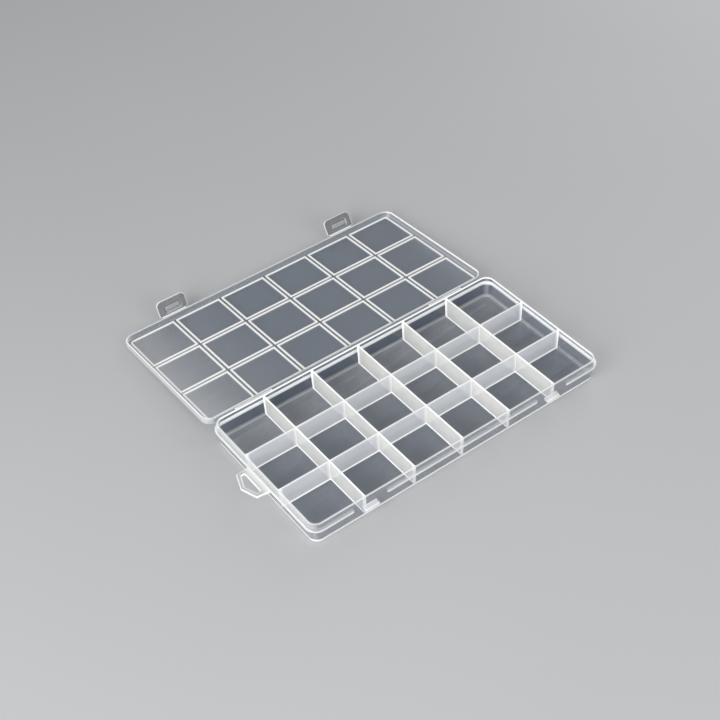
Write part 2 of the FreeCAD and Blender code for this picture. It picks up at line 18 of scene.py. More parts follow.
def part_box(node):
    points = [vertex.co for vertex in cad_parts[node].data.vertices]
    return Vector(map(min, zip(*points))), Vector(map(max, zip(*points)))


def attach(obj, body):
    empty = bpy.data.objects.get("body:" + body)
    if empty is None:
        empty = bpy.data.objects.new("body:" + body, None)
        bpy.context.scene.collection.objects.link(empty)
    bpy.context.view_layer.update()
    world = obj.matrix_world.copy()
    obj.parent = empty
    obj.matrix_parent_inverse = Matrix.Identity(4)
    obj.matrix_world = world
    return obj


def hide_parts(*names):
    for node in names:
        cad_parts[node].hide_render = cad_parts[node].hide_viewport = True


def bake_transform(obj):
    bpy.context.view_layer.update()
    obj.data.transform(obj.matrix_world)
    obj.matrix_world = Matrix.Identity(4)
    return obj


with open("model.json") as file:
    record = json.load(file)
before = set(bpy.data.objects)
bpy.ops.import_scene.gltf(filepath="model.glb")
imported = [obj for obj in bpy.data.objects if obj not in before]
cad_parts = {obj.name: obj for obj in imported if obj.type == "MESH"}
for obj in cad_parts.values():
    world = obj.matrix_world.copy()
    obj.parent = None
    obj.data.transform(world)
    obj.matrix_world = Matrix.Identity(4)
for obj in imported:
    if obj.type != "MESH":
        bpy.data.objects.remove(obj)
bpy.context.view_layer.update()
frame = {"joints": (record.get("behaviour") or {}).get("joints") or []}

DEPTH_AND_PAINTED_LIGHT, WITHIN_AND_PAINTED_LIGHT, DIM = "plastic_depth", "plastic_depth_within", "plastic_dim"
# The depth from within, as a share of the depth from outside, where nothing else is given.
FAINT = 0.25
# Painted glow: the light that the plastic gives off at its deepest, standing in for light that runs
# inside a wall.
PAINTED_GLOW = 0.22
# Neighbouring surfaces stop this far short of each other, so that no two faces lie in one plane.
HAIR = 0.03
# Edges that turn by more than this are sharp.
CREASE = math.radians(38)


def size_of(node):
    """A node's lowest and highest corners, in millimetres."""
    low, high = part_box(node)
    return np.array(low) * 1000, np.array(high) * 1000


def middle_of(node):
    """The middle of a node's box, in millimetres."""
    return np.mean(size_of(node), 0)


JOINTS = {joint["name"]: joint for joint in frame["joints"]}
BEAD_X, BEAD_Y, RIM = size_of("tray_shell")[1]
INNER_X = size_of("long_divider_front")[1][0]
INNER_Y = size_of("cross_divider_1")[1][1]
FLOOR = size_of("cross_divider_1")[0][2]
WALL = 1.2
# The walls' draft, as a slope.
LEAN = math.tan(math.radians(2.0))
INNER_CORNER = 5.3
RIM_ROUND, FOOT_ROUND, FLOOR_FILLET = 0.3, 1.5, 0.6
BEAD_LOW, BEAD_TOP, BEAD_ROUND, BEAD_FILLET = 10.6, 12.9, 0.8, 0.25
BEAD_OUT = BEAD_X - INNER_X
# The break of the bead at a catch, and the length of the round at each end of it.
BREAK, BREAK_ROUND = 24.3, 0.8
DIVIDER = 1.0
DIVIDER_X = [middle_of("cross_divider_%d" % place)[0] for place in range(1, 6)]
DIVIDER_Y = middle_of("long_divider_rear")[1]
LATCH_X = JOINTS["latch_right_fold"]["pos_m"][0] * 1000
HINGE_Y, HINGE_Z = np.array(JOINTS["lid_fold"]["pos_m"][1:]) * 1000
# How far past flat the open lid lies, as an angle.
DIP = math.radians(JOINTS["lid_fold"]["range_deg"][1] - 180)
LID_MIDDLE = HINGE_Y
# Heights on the lid, off its axis as it lies flat: the skirt's edge, the inner face and the back.
LID_EDGE, LID_FACE, LID_BACK = -0.1, -4.1, -5.4
LID_ROUND, LID_FILLET, SKIRT_ROUND = 1.5, 0.5, 0.3
SKIRT = 1.2
LID_CORNER = INNER_CORNER + BEAD_OUT
# The camera stands where the photograph was taken from. Lengths in metres, the lens in millimetres.
CAMERA_EYE, CAMERA_TARGET = Vector((-0.3585, -0.4826, 0.6073)), Vector((0.00261, 0.05637, 0))
CAMERA_ROLL, CAMERA_LENS = math.radians(-3.866), 66.575


def near(distance, reach):
    """A share that falls in a smooth step from 1 at no distance to 0 at the given reach."""
    share = np.clip(1 - distance / reach, 0, 1)
    return share * share * (3 - 2 * share)


def flare(distance, radius):
    """How far a concave fillet stands out, at a distance from the corner that it fills:
    the radius less the height of a circle of that radius."""
    inside = np.clip(radius - distance, 0, radius)
    return radius - np.sqrt(radius * radius - inside * inside)


def arc(centre, radius, start, end, count):
    """Points of a circle about a centre, from one angle to another, in degrees."""
    angle = np.radians(np.linspace(start, end, count))
    return np.column_stack([centre[0] + radius * np.cos(angle), centre[1] + radius * np.sin(angle)])


def profile(*stretches):
    """A section: stretches of points, each with its depth of plastic and, where given, its depth from
    within, one after another as rows of two places and two depths."""
    rows = []
    for points, depth, *within in stretches:
        points = np.atleast_2d(np.array(points, float))
        depth = np.broadcast_to(depth, len(points))
        inner = np.broadcast_to(within[0], len(points)) if within else FAINT * depth
        rows.append(np.column_stack([points, depth, inner]))
    return np.vstack(rows)


def outline(corners, radii, insets, shares, steps=9):
    """Closed rings round a convex polygon with round corners, one ring for each inset. An inset
    moves every side inwards and takes as much off each corner's radius. A corner is an arc whose
    spokes turn from the normal of one side to the normal of the next, and a side carries points at
    the given shares of its length. The corners go anticlockwise."""
    corners, insets = np.array(corners, float), np.atleast_1d(np.array(insets, float))[:, None]
    side = np.roll(corners, -1, 0) - corners
    after = np.column_stack([side[:, 1], -side[:, 0]]) / np.linalg.norm(side, axis=1)[:, None]
    before = np.roll(after, 1, 0)
    mitre = (before + after) / (1 + (before * after).sum(1))[:, None]
    first = np.arctan2(before[:, 1], before[:, 0])
    turn = (np.arctan2(after[:, 1], after[:, 0]) - first) % (2 * np.pi)
    angle = first[:, None] + turn[:, None] * np.linspace(0, 1, steps)
    spoke = np.stack([np.cos(angle), np.sin(angle)], -1)
    radius = np.maximum(np.array(radii, float) - insets, 0.04)
    foot = corners - (radius + insets)[..., None] * mitre
    bend = foot[:, :, None] + radius[:, :, None, None] * spoke
    start, end = bend[:, :, -1], np.roll(bend[:, :, 0], -1, 1)
    rings = []
    for place, share in enumerate(shares):
        straight = (end - start)[:, place, None] * np.array(share)[:, None]
        rings += [bend[:, place], start[:, place, None] + straight]
    return np.concatenate(rings, 1)


def rectangle(half_x, half_y, middle=(0.0, 0.0)):
    """The corners of a rectangle, anticlockwise from the one at the right and rear."""
    signs = np.array([(1, 1), (-1, 1), (-1, -1), (1, -1)], float)
    return signs * (half_x, half_y) + middle


def even(count):
    """Shares that part a side evenly, without its ends."""
    return np.linspace(0, 1, count + 2)[1:-1]


def stack(*columns):
    """Grids of x, y and z, spread to one size, as a grid of points."""
    return np.stack(np.broadcast_arrays(*columns), -1)


def on_lid(points):
    """Points of the lid as it lies flat, measured from the hinge axis, turned about that axis by
    the dip of the open lid."""
    x, y, z = np.moveaxis(points, -1, 0)
    across = HINGE_Y + y * math.cos(DIP) + z * math.sin(DIP)
    return np.stack([x, across, HINGE_Z - y * math.sin(DIP) + z * math.cos(DIP)], -1)


def piece(node, body, parts, finish):
    """A piece that stands for one node. Each part is a grid of points whose rows are closed rings,
    their tones, and whether the last ring joins the first: quads fill the grid from ring to ring, and
    an open stack gets one face across each end. A tone is a depth, or the two depths, or these and how
    dim the point is; where that is not given, the ends of an open stack are dim."""
    points, tones, faces, count = [], [], [], 0
    for grid, tone, joined in parts:
        rows, columns = grid.shape[:2]
        number = count + np.arange(rows * columns).reshape(rows, columns)
        low, high = (number, np.roll(number, -1, 0)) if joined else (number[:-1], number[1:])
        quads = np.stack([low, np.roll(low, -1, 1), np.roll(high, -1, 1), high], -1)
        faces += quads.reshape(-1, 4).tolist()
        if not joined:
            faces += [number[0, ::-1].tolist(), number[-1].tolist()]
        points.append(grid.reshape(-1, 3))
        tone = tone if tone.ndim == 3 else tone[..., None] * (1, FAINT)
        full = np.zeros((rows, columns, 3))
        full[[0, -1], :, 2] = not joined
        full[..., : tone.shape[-1]] = tone
        tones.append(full.reshape(-1, 3))
        count += rows * columns
    mesh = bpy.data.meshes.new(node + "_moulded")
    mesh.from_pydata(np.concatenate(points) / 1000, [], faces)
    for name, values in zip((DEPTH_AND_PAINTED_LIGHT, WITHIN_AND_PAINTED_LIGHT, DIM), np.concatenate(tones).astype(np.float32).T):
        held = mesh.attributes.new(name, "FLOAT", "POINT")
        held.data.foreach_set("value", np.ascontiguousarray(values))
    work = bmesh.new()
    work.from_mesh(mesh)
    bmesh.ops.remove_doubles(work, verts=work.verts, dist=2e-6)
    bmesh.ops.recalc_face_normals(work, faces=work.faces)
    work.to_mesh(mesh)
    work.free()
    mesh.shade_smooth()
    mesh.set_sharp_from_angle(angle=CREASE)
    mesh.materials.append(finish)
    made = bpy.data.objects.new(node + "_moulded", mesh)
    bpy.context.scene.collection.objects.link(made)
    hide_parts(node)
    if body:
        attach(made, body)
    return made


class Tone:
    """One socket of a material. Sums on tones add Math nodes, and any other node comes from node()."""

    def __init__(self, tree, socket=None):
        self.tree = tree
        self.socket = socket

    def node(self, kind, settings=None, values=None, out=0):
        """Adds a node of this kind: its settings first, then each socket's value or link."""
        made = self.tree.nodes.new(kind)
        for key, value in (settings or {}).items():
            setattr(made, key, value)
        for key, value in (values or {}).items():
            if isinstance(value, Tone):
                self.tree.links.new(value.socket, made.inputs[key])
            else:
                made.inputs[key].default_value = value
        return Tone(self.tree, made.outputs[out] if made.outputs else None)

    def sum(self, operation, first, second):
        """A Math node on two values."""
        return self.node("ShaderNodeMath", {"operation": operation}, {0: first, 1: second})

    def __add__(self, other):
        return self.sum("ADD", self, other)

    def __sub__(self, other):
        return self.sum("SUBTRACT", self, other)

    def __rsub__(self, other):
        return self.sum("SUBTRACT", other, self)

    def __mul__(self, other):
        return self.sum("MULTIPLY", self, other)

    def __pow__(self, other):
        return self.sum("POWER", self, other)

    __radd__ = __add__
    __rmul__ = __mul__

    def between(self, low, high):
        """The share of the way from one value to another, held between 0 and 1."""
        values = {"Value": self, "From Min": low, "From Max": high}
        return self.node("ShaderNodeMapRange", {"clamp": True}, values)

    def noise(self, scale, turn=0.0, detail=3.0):
        """Noise on this place, stretched by a scale for each axis and turned about the upright."""
        values = {"Vector": self, "Scale": scale, "Rotation": (0.0, 0.0, turn)}
        placed = self.node("ShaderNodeMapping", {"vector_type": "TEXTURE"}, values)
        return self.node("ShaderNodeTexNoise", {}, {"Vector": placed, "Scale": 1.0, "Detail": detail})

    def mix(self, first, second):
        """A colour between two others, by this share."""
        return self.node("ShaderNodeMix", {"data_type": "RGBA"}, {0: self, 6: first, 7: second}, out=2)


def clear_plastic(name, haze, tint, pane=(0.86, 0.877, 0.90, 1.0), left_sheen=0.0):
    """Clear polypropylene with a little milk in it. A wall hides a small share of what lies behind it,
    more in slow clouds and along the streaks of the melt's flow. A left sheen is painted light that
    whitens faces that are fully dim towards the left end, less when seen from behind. The share grows
    to nearly all, and the colour to a warm white, with the depth of plastic, and the deepest plastic
    gives off a painted glow. A floor or a plate dims what lies behind it, and a floor, known by its
    slight dimness, is painted lighter and whiter, more so towards the rear. Fine scuffs dull the
    gloss, and a slight ripple of the mould bends it."""
    edge = (0.97, 0.97, 0.955, 1.0)
    material = bpy.data.materials.new(name)
    material.use_nodes = True
    material.node_tree.nodes.clear()
    start = Tone(material.node_tree)
    place = start.node("ShaderNodeTexCoord", out="Object")
    behind = start.node("ShaderNodeNewGeometry", out="Backfacing")
    outside = start.node("ShaderNodeAttribute", {"attribute_name": DEPTH_AND_PAINTED_LIGHT}, out="Fac")
    inside = start.node("ShaderNodeAttribute", {"attribute_name": WITHIN_AND_PAINTED_LIGHT}, out="Fac")
    dim = start.node("ShaderNodeAttribute", {"attribute_name": DIM}, out="Fac")
    dim = start.sum("MAXIMUM", dim, -1 * behind * dim)
    # The depth read here carries painted light and shade as well as the depth of plastic.
    depth = outside + behind * (inside - outside)
    grazing = start.node("ShaderNodeLayerWeight", {}, {"Blend": 0.5}, out="Facing")
    left = start.node("ShaderNodeSeparateXYZ", {}, {"Vector": place}, out="X").between(-0.02, -0.115)
    rear = start.node("ShaderNodeSeparateXYZ", {}, {"Vector": place}, out="Y").between(0.005, 0.04)
    # Painted light: a sheen towards the left end, on fully dim faces, less when seen from behind.
    milk_and_left_light = left_sheen * left ** 2 * dim.between(0.9, 1.0) * (1 - 0.6 * behind)
    floor = dim.between(0.05, 0.25) - dim.between(0.25, 0.5)
    cloud = place.noise((0.045, 0.035, 0.03))
    flow = place.noise((0.09, 0.006, 0.006), turn=0.12, detail=4.0)
    scuff = place.noise((0.05, 0.0007, 0.01), turn=0.7, detail=2.0).between(0.69, 0.77)
    scuff = scuff + place.noise((0.06, 0.0006, 0.01), turn=-1.1, detail=2.0).between(0.71, 0.79)
    fine = place.noise((0.0011, 0.0011, 0.0011), detail=2.0)
    ripple = place.noise((0.016, 0.012, 0.012), detail=1.0)
    milk = haze * (0.62 + 0.5 * cloud + 0.26 * flow) + 0.035 * scuff + 0.3 * milk_and_left_light
    # Painted light: a floor is painted lighter and whiter, more towards the rear; its streaks along the
    # melt's flow are its own tone.
    milk = milk + floor * (0.07 + 0.08 * rear + 0.16 * flow.between(0.45, 0.75))
    alpha = (milk * (1 - depth) + 0.95 * depth + 0.25 * grazing ** 3 * (1 - depth)).between(0.0, 1.0)
    # The colour whitens with depth, clouds, the painted left sheen and the painted floor light.
    shade = (depth * 5.0 + 0.1 * cloud + milk_and_left_light + floor * (0.24 + 0.25 * rear)).between(0.0, 0.95)
    ridges = ripple + 0.06 * fine + 0.05 * scuff
    bump = start.node("ShaderNodeBump", {}, {"Strength": 0.3, "Distance": 0.0006, "Height": ridges})
    dull = 0.13 + 0.1 * flow + 0.16 * scuff + 0.12 * depth
    skin = {
        "Base Color": shade.mix(tint, edge),
        "Roughness": dull,
        "IOR": 1.49,
        "Normal": bump,
        # Painted glow: the deepest plastic gives off a warm white light.
        "Emission Color": (depth ** 2).mix((0.0, 0.0, 0.0, 1.0), edge),
        "Emission Strength": PAINTED_GLOW,
    }
    facing = start.node("ShaderNodeBsdfPrincipled", {}, skin)
    thin = start.node("ShaderNodeBsdfTranslucent", {}, {"Color": tint})
    deep = start.node("ShaderNodeBsdfTranslucent", {}, {"Color": edge})
    through = start.node("ShaderNodeMixShader", {}, {0: shade, 1: thin, 2: deep})
    plain = start.node("ShaderNodeBsdfTransparent", {}, {"Color": (0.975, 0.98, 0.985, 1.0)})
    dimmed = start.node("ShaderNodeBsdfTransparent", {}, {"Color": pane})
    clear = start.node("ShaderNodeMixShader", {}, {0: dim, 1: plain, 2: dimmed})
    solid = start.node("ShaderNodeMixShader", {}, {0: 0.45 - 0.2 * depth, 1: facing, 2: through})
    surface = start.node("ShaderNodeMixShader", {}, {0: alpha, 1: clear, 2: solid})
    gloss = start.node("ShaderNodeBsdfGlossy", {}, {"Roughness": dull, "Normal": bump})
    surface = start.node("ShaderNodeMixShader", {}, {0: 0.04 + 0.96 * grazing ** 5, 1: surface, 2: gloss})
    start.node("ShaderNodeOutputMaterial", {}, {"Surface": surface})
    return material


TRAY_FINISH = clear_plastic("clear_tray", 0.065, (0.27, 0.34, 0.45, 1.0), (0.29, 0.32, 0.38, 1.0))
# Painted light and shade: the dividers across, whose faces turn to the left, take a lit copy of the
# frosted plastic, whiter and warmer, and the dividers along a shaded copy, bluer and clearer.
ACROSS_LIT_FINISH = clear_plastic("frosted_divider_across", 0.54, (0.95, 0.945, 0.925, 1.0))
ALONG_SHADED_FINISH = clear_plastic("frosted_divider_along", 0.50, (0.88, 0.905, 0.94, 1.0))
# The lid carries the painted left sheen.
LID_FINISH = clear_plastic("clear_lid", 0.25, (0.29, 0.335, 0.40, 1.0), left_sheen=0.8)
LATCH_FINISH = clear_plastic("clear_latch", 0.75, (0.20, 0.21, 0.23, 1.0))
FILM_FINISH = clear_plastic("clear_film", 0.55, (0.82, 0.835, 0.85, 1.0))


def inner_wall(height):
    """Where the drafted inner face stands, outwards of the rim's inner edge."""
    return -(RIM - height) * LEAN


def outer_wall(height):
    """Where the drafted outer face stands, outwards of the rim's inner edge."""
    return WALL - (RIM - height) * LEAN


def tray():
    """The shell: a section of floor, inner wall, rim, outer wall, bead and foot carried round a
    rectangle with round corners. The section's rows at the bead slide from the wall out to the bead
    by a share that follows the path, and falls to nothing in a quarter round at each break. The outer
    wall at the left end is painted lighter, most above its bead, as painted light from the left, and
    each round corner of the walls carries a painted highlight. The rim and the wall above the bead are
    painted fainter along the front, and less at the left end, as painted shade. From within, the rear
    and the right end dim what lies behind them."""
    top, low = outer_wall(BEAD_TOP), outer_wall(BEAD_LOW)
    foot = outer_wall(FOOT_ROUND) - FOOT_ROUND
    inside = profile(
        ([(inner_wall(FLOOR) - 2.6, FLOOR)], 0.0),
        ([(inner_wall(FLOOR) - 0.8, FLOOR)], 0.0),
        (arc((inner_wall(FLOOR) - FLOOR_FILLET, FLOOR + FLOOR_FILLET), FLOOR_FILLET, 270, 360, 6), 0.08),
        ([(inner_wall(2.0), 2.0)], 0.0),
        ([(inner_wall(9.0), 9.0), (inner_wall(15.9), 15.9)], 0.0),
        ([(inner_wall(16.4), 16.4)], 0.25),
        (arc((RIM_ROUND, RIM - RIM_ROUND), RIM_ROUND, 180, 90, 5), 1.0),
    )
    outside = profile(
        (arc((WALL - RIM_ROUND, RIM - RIM_ROUND), RIM_ROUND, 90, 0, 5), 1.0),
        ([(outer_wall(16.3), 16.3)], 0.3),
        ([(outer_wall(15.7), 15.7), (outer_wall(13.25), 13.25)], 0.08),
    )
    bead = profile(
        (arc((top + BEAD_FILLET, BEAD_TOP + BEAD_FILLET), BEAD_FILLET, 180, 270, 4), 0.28, 0.9),
        (arc((BEAD_OUT - BEAD_ROUND, BEAD_TOP - BEAD_ROUND), BEAD_ROUND, 90, 0, 7), 0.35, 1.0),
        (arc((BEAD_OUT - BEAD_ROUND, BEAD_LOW + BEAD_ROUND), BEAD_ROUND, 0, -90, 7), 0.3, 1.0),
        (arc((low + BEAD_FILLET, BEAD_LOW - BEAD_FILLET), BEAD_FILLET, 90, 180, 4), 0.12, 0.8),
    )
    bare_height = np.linspace(BEAD_TOP + BEAD_FILLET, BEAD_LOW - BEAD_FILLET, len(bead))
    bare = profile((np.column_stack([outer_wall(bare_height), bare_height]), 0.05))
    below = profile(
        ([(outer_wall(10.2), 10.2), (outer_wall(3.6), 3.6)], 0.0),
        ([(outer_wall(2.8), 2.8)], 0.12, 0.0),
        ([(outer_wall(2.5), 2.5)], 0.95, 0.05),
        (arc((foot, FOOT_ROUND), FOOT_ROUND, 0, -90, 8), 1.0, 0.05),
        ([(foot - 0.5, 0.0)], 0.2, 0.05),
        ([(foot - 2.6, 0.0)], 0.0),
    )
    run = INNER_X - INNER_CORNER
    ends = np.array([0.0, 0.02, 0.07, 0.15, 0.27, 0.42, 0.62, BREAK_ROUND]) + BREAK / 2
    breaks = np.concatenate([middle + sign * ends for middle in (-LATCH_X, LATCH_X) for sign in (-1, 1)])
    stations = np.unique(np.concatenate([np.linspace(-run, run, 41)[1:-1], breaks]))
    shares = (even(39), even(19), (stations + run) / (2 * run), even(19))
    ring = outline(rectangle(INNER_X, INNER_Y), [INNER_CORNER] * 4, (0.0, -1.0), shares)
    rim, away = ring[0], ring[1] - ring[0]
    beyond = np.abs(np.abs(rim[:, 0]) - LATCH_X) - BREAK / 2
    rise = np.clip(beyond / BREAK_ROUND, 0, 1)
    share = np.where(rim[:, 1] < -INNER_Y + 0.01, np.sqrt(1 - (1 - rise) ** 2), 1.0)
    wall_rows = np.vstack([inside, outside, bare, below])[:, None]
    bead_rows = np.vstack([inside, outside, bead, below])[:, None]
    section = wall_rows + share[None, :, None] * (bead_rows - wall_rows)
    plan = rim[None] + section[..., :1] * away[None]
    grid = np.concatenate([plan, section[..., 1:2]], -1)
    height = section[..., 1]
    outer = np.arange(len(section))[:, None] >= len(inside)
    rising = height > FLOOR + 0.7
    west, south = np.clip(-away[:, 0], 0, 1), np.clip(-away[:, 1], 0, 1)
    east, north = np.clip(away[:, 0], 0, 1), np.clip(away[:, 1], 0, 1)
    # Painted highlight: a glint on each round corner of the walls, kept off the floor.
    bend = (2 * np.abs(away[:, 0] * away[:, 1])) ** 4
    # Painted shade: the rim and the wall above the bead are painted fainter along the front, and less at
    # the left end; below that, the front is painted a little fainter.
    above = np.where(outer, 0.35, 0.6) * south + 0.3 * west
    painted_fade = np.where(height > BEAD_TOP + 1, above, 0.15 * south)
    # Painted light: the outer wall at the left end is painted lighter, most above the bead, as if lit
    # from the left; the other outer walls get an even milk.
    sides = 0.11 * np.maximum(south, np.maximum(north, east))
    milk_and_left_light = outer * np.maximum(np.where(height > BEAD_LOW, 0.42, 0.15) * west, sides)
    seen, through = np.moveaxis(section[..., 2:] * (1 - painted_fade)[..., None], -1, 0)
    seen = np.maximum(seen, rising * np.maximum(milk_and_left_light, 0.22 * bend))
    wall = outer & rising & (height < RIM - 1)
    dim = np.where(wall, -north - 0.7 * east, 0.25 * ~rising)
    depth = np.stack([seen, through, dim], -1)
    piece("tray_shell", "tray", [(grid, depth, False)], TRAY_FINISH)


def web(first, last, across, crest, bright):
    """A divider's wall. Its section is a tall loop, half as thick on each side of its middle as the
    divider, plus a flare above the floor and a flare towards each end, less a round along the top.
    The section is carried along the run between two end lines, each given at the floor and at the
    rim. Its crest and its two ends are as bright as given."""
    top_round = 0.3
    rise = np.array([HAIR, 0.05, 0.12, 0.22, 0.35, 0.5, 0.75, 1.0, 1.5, 2.4, 6.0, 10.0, 13.8])
    rise = np.concatenate([rise, RIM - FLOOR - np.array([1.0, 0.6, top_round])])
    turn = np.radians(np.linspace(0, 90, 5)[1:])
    rise = np.concatenate([rise, RIM - FLOOR - top_round + top_round * np.sin(turn)])
    half = DIVIDER / 2 + flare(rise, 0.5)
    half[-len(turn):] -= top_round * (1 - np.cos(turn))
    half, side = np.concatenate([half, half[::-1]]), np.repeat([1.0, -1.0], len(rise))
    rise = np.concatenate([rise, rise[::-1]])
    length = abs(last[1] - first[1])
    ends = np.array([0.0, 0.04, 0.1, 0.2, 0.32, 0.5, 0.9, 2.4])
    middle = np.linspace(2.4, length - 2.4, max(3, int(length / 6)))[1:-1]
    place = np.concatenate([ends, middle, (length - ends)[::-1]])
    end = np.minimum(place, length - place)
    up = rise / (RIM - FLOOR)
    start, stop = first[0] + (first[1] - first[0]) * up, last[0] + (last[1] - last[0]) * up
    along = start + (place / length)[:, None] * (stop - start)
    wide = across + side * (half + flare(end, 0.5)[:, None] * np.clip(half * 2, 0, 1))
    depth = np.maximum(crest * near(RIM - FLOOR - rise, 0.95), near(rise - 0.7, 0.8))
    tips = np.maximum(bright[0] * near(place - 0.6, 1.3), bright[1] * near(length - place - 0.6, 1.3))
    depth = np.maximum(np.broadcast_to(depth, along.shape), tips[:, None])
    return stack(along, wide, FLOOR + rise[None]), depth, False


def dividers():
    """The dividers across run whole from wall to wall. Each one along is six webs, from wall to
    divider and from divider to divider. A web's ends are brightest at the walls, and at a crossing its
    left end is the fainter one."""
    ends_y = np.array([INNER_Y + inner_wall(FLOOR), INNER_Y]) - HAIR
    ends_x = np.array([INNER_X + inner_wall(FLOOR), INNER_X]) - HAIR
    for place, x in enumerate(DIVIDER_X, 1):
        grid, depth, joined = web(-ends_y, ends_y, x, 1.0, (1.0, 1.0))
        piece("cross_divider_%d" % place, "tray", [(grid[..., [1, 0, 2]], depth, joined)], ACROSS_LIT_FINISH)
    gap = DIVIDER / 2 + HAIR
    for node in ("long_divider_front", "long_divider_rear"):
        y = middle_of(node)[1]
        starts = [-ends_x] + [np.array([x + gap] * 2) for x in DIVIDER_X]
        stops = [np.array([x - gap] * 2) for x in DIVIDER_X] + [ends_x]
        bright = np.array([1.0] + [0.3] * 5), np.array([0.6] * 5 + [1.0])
        parts = [web(*run[:2], y, 0.6, run[2:]) for run in zip(starts, stops, *bright)]
        piece(node, "tray", parts, ALONG_SHADED_FINISH)


def catches():
    """A catch is a wedge: a section with a sloping top and a round front, carried along the wall, and
    drawn in by a quarter round at each end."""
    soft, slope = 0.55, 0.8
    for node in ("catch_left", "catch_right"):
        low, high = size_of(node)
        root, front = high[1] + 0.35, low[1]
        section = [(root, low[2]), (root, high[2]), (front, high[2] - slope), (front, low[2])]
        turn = np.radians(np.linspace(0, 90, 6))
        inset = soft * (1 - np.sin(turn))
        place = soft * (1 - np.cos(turn))
        inset = np.concatenate([inset, inset[::-1]])
        x = np.concatenate([low[0] + place, high[0] - place[::-1]])
        ring = outline(section, [0.05, 0.05, soft, soft], inset, [even(2)] * 4, steps=6)
        edge = np.tile(np.repeat([0.7, 0.5], [6, 2]), 4)
        depth = np.maximum(edge, 0.7 * near(soft - inset, soft)[:, None])
        piece(node, "tray", [(stack(x[:, None], ring[..., 0], ring[..., 1]), depth, False)], TRAY_FINISH)


def hanging_tab():
    """The tab is a five-sided plate with a five-sided hole: rings run from the rounded outer edge over
    the top face to the hole, down its wall, and back below. Its upper edges and its root are bright."""
    low, high = size_of("hang_tab")
    outer = [(-113.2, 12.6), (-122.85, 11.5), (-126.85, 0.0), (-122.85, -11.5), (-113.2, -12.6)]
    hole = [(-118.35, 8.744), (-120.82, 8.744), (-124.09, 0.0), (-120.82, -8.744), (-118.35, -8.744)]
    outer_radii, hole_radii = [0.3, 1.2, 1.2, 1.2, 0.3], [0.7] * 5
    shares = [even(8)] * 5
    soft, border, root = 0.5, 1.0, -114.0
    middle, face = (low[2] + high[2]) / 2, (high[2] - low[2]) / 2
    turn = np.radians(np.linspace(0, 90, 5))
    edge_in, edge_up = soft * (1 - np.cos(turn)), face - soft + soft * np.sin(turn)
    inset = np.concatenate([edge_in, [border]])
    outside = outline(outer, outer_radii, inset, shares)
    inside = outline(hole, hole_radii, -inset, shares)
    rings = np.concatenate([outside, inside[::-1], inside, outside[::-1]])
    upper = np.concatenate([edge_up, [face, face], edge_up[::-1]])
    height = middle + np.concatenate([upper, -upper])
    bright = np.array([0.8, 0.85, 0.9, 0.9, 0.6, 0.15])
    bright = np.concatenate([bright, bright[::-1]])
    depth = np.concatenate([bright, 0.2 * bright])[:, None]
    depth = np.maximum(depth, 0.7 * near(root - rings[..., 0], 6.5))
    grid = stack(rings[..., 0], rings[..., 1], height[:, None])
    piece("hang_tab", "tray", [(grid, depth, True)], TRAY_FINISH)


def lid():
    """The panel: a section of plate, skirt and outer round carried round the lid's outline, which has
    round corners. Its edge is painted fainter along the two long sides, and most along the latches',
    as painted shade, and its skirt is painted lighter at the left end, as painted light from the left."""
    bend_bright = (0.2, 0.4, 0.6, 0.7, 0.7, 0.6, 0.4, 0.2)
    section = profile(
        ([(3.8, LID_FACE)], 0.0),
        ([(SKIRT + 1.1, LID_FACE)], 0.0),
        (arc((SKIRT + LID_FILLET, LID_FACE + LID_FILLET), LID_FILLET, 270, 180, 6), 0.03),
        ([(SKIRT, -2.6), (SKIRT, -1.2)], 0.02),
        ([(SKIRT, -0.7)], 0.1),
        (arc((SKIRT - SKIRT_ROUND, LID_EDGE - SKIRT_ROUND), SKIRT_ROUND, 0, 90, 5), 1.0),
        (arc((SKIRT_ROUND, LID_EDGE - SKIRT_ROUND), SKIRT_ROUND, 90, 180, 5), (0.9, 0.6, 0.4, 0.3, 0.25)),
        ([(0.0, -0.8)], 0.15),
        ([(0.0, -1.4), (0.0, -3.0)], 0.05),
        (arc((LID_ROUND, LID_BACK + LID_ROUND), LID_ROUND, 180, 270, 8), bend_bright),
        ([(LID_ROUND + 1.0, LID_BACK)], 0.05),
        ([(LID_ROUND + 2.6, LID_BACK)], 0.0),
    )
    shares = (even(39), even(19), even(39), even(19))
    corners = rectangle(BEAD_X, BEAD_Y, (0, LID_MIDDLE))
    ring = outline(corners, [LID_CORNER] * 4, section[:, 0], shares, steps=11)
    grid = stack(ring[..., 0], ring[..., 1], section[:, 1:2])
    away = (ring[5] - ring[0]) / np.linalg.norm(ring[5] - ring[0], axis=1)[:, None]
    west, south, north = np.clip(np.stack([-away[:, 0], -away[:, 1], away[:, 1]]), 0, 1)
    # Painted shade: the edge keeps less of its depth along the two long sides, least along the latches'.
    painted_side_light = 1 - 0.6 * north ** 2 - 0.5 * south ** 2
    seen, through = np.moveaxis(section[:, None, 2:] * painted_side_light[:, None], -1, 0)
    skirt = (section[:, :1] < SKIRT + 0.01) & (section[:, 1:2] < LID_EDGE - SKIRT_ROUND - 0.01)
    # Painted light: the skirt is painted lighter at the left end.
    seen = np.maximum(seen, skirt * np.maximum(0.4 * west, 0.05 * south ** 2))
    dim = np.where(skirt, 0.9 * north ** 2, np.where(section[:, :1] > SKIRT + 1, 1.0, 0.0))
    dim[section[:, 1] < LID_BACK + 0.01] = 0.9
    depth = np.stack([seen, through, dim], -1)
    piece("lid_panel", "lid", [(on_lid(grid), depth, False)], LID_FINISH)


